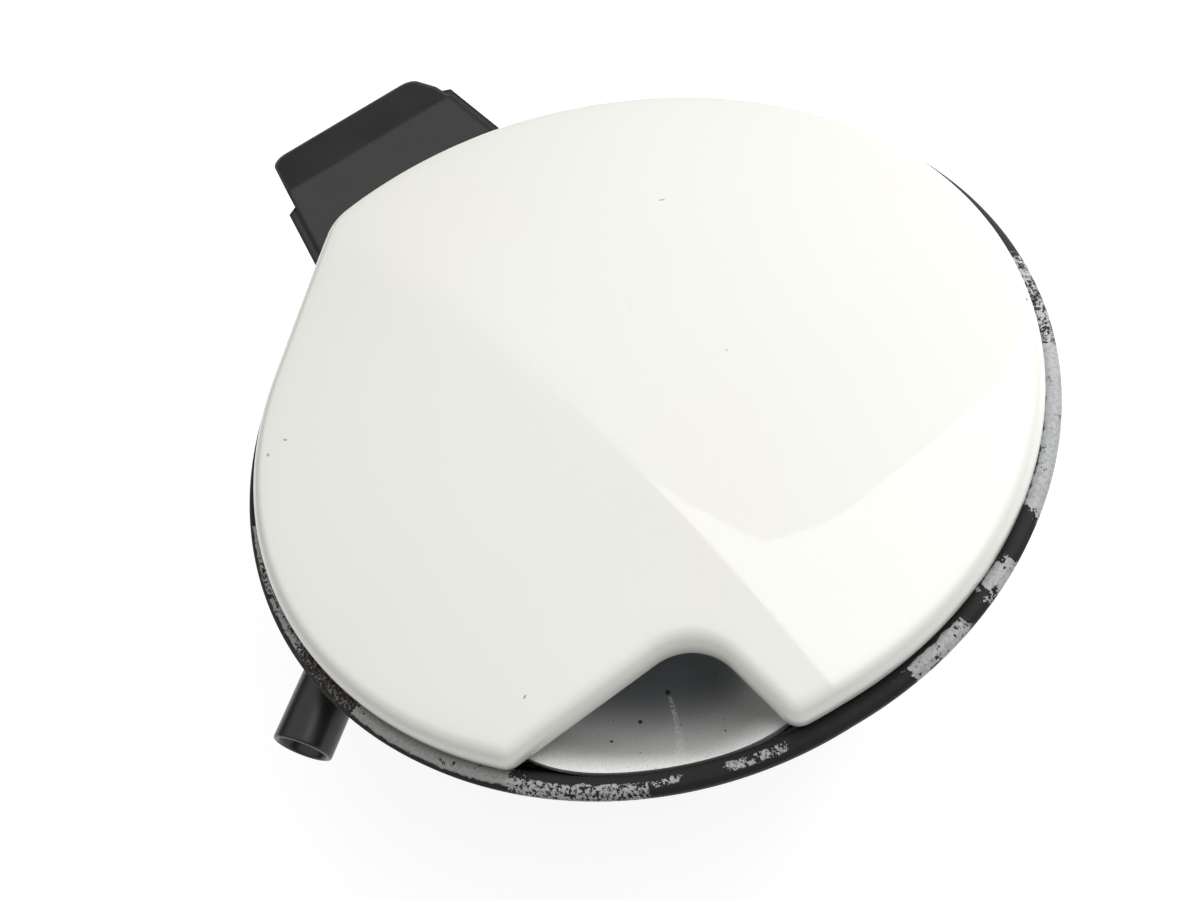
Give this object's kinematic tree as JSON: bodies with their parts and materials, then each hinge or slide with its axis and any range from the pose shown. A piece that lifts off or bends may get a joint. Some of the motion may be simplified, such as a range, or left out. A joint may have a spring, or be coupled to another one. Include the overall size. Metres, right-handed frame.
{
  "type": "fuel filler flap",
  "caption": "Round painted fuel filler flap with a finger notch, hinged by a gooseneck arm to a black bowl housing with a soft lip, hinge box and drain spout.",
  "frame": {"origin": "axis of the filler neck bore, on the collar's bottom face that the part stands on", "axes": "+X away from the hinge, Y along the hinge pin, +Z out through the mouth and the flap"},
  "size_m": [0.249, 0.2006, 0.0869],
  "materials": {
    "white_paint": "gloss white car paint",
    "scoop_paint": "thin white overspray, satin",
    "housing_black": "satin black moulding",
    "moulded_black": "satin black moulding",
    "soft_lip": "matt black with paint residue",
    "collar_rubber": "matt black rubber",
    "spout_black": "semi-gloss black",
    "natural_nylon": "natural nylon",
    "zinc_steel": "zinc plated",
    "spring_steel": "blued spring steel"
  },
  "bodies": {
    "housing_body": {"housing": "housing_black", "hinge_box_cover": "moulded_black", "cover_screws": "zinc_steel", "hinge_bush_left": "natural_nylon", "hinge_bush_right": "natural_nylon", "leaf_spring": "spring_steel", "mouth_seal": "soft_lip", "finger_scoop": "scoop_paint", "neck_collar": "collar_rubber", "neck_ring": "moulded_black", "ring_screws": "zinc_steel", "drain_spout": "spout_black", "lock_bush": "natural_nylon", "buffer_upper": "collar_rubber", "buffer_lower": "collar_rubber", "body_clips": "spring_steel"},
    "flap_body": {"flap_skin": "white_paint", "flap_carrier": "moulded_black", "hinge_arm": "moulded_black", "arm_screws": "zinc_steel", "hinge_pin": "zinc_steel", "pin_clip": "spring_steel", "latch_tongue": "moulded_black", "tongue_screws": "zinc_steel"}
  },
  "joints": [
    {"name": "flap_hinge", "type": "hinge", "parent": "housing_body", "child": "flap_body", "pos_m": [-0.124, -0.012, 0.056], "axis": [0, -1, 0], "range_deg": [0, 80]}
  ]
}
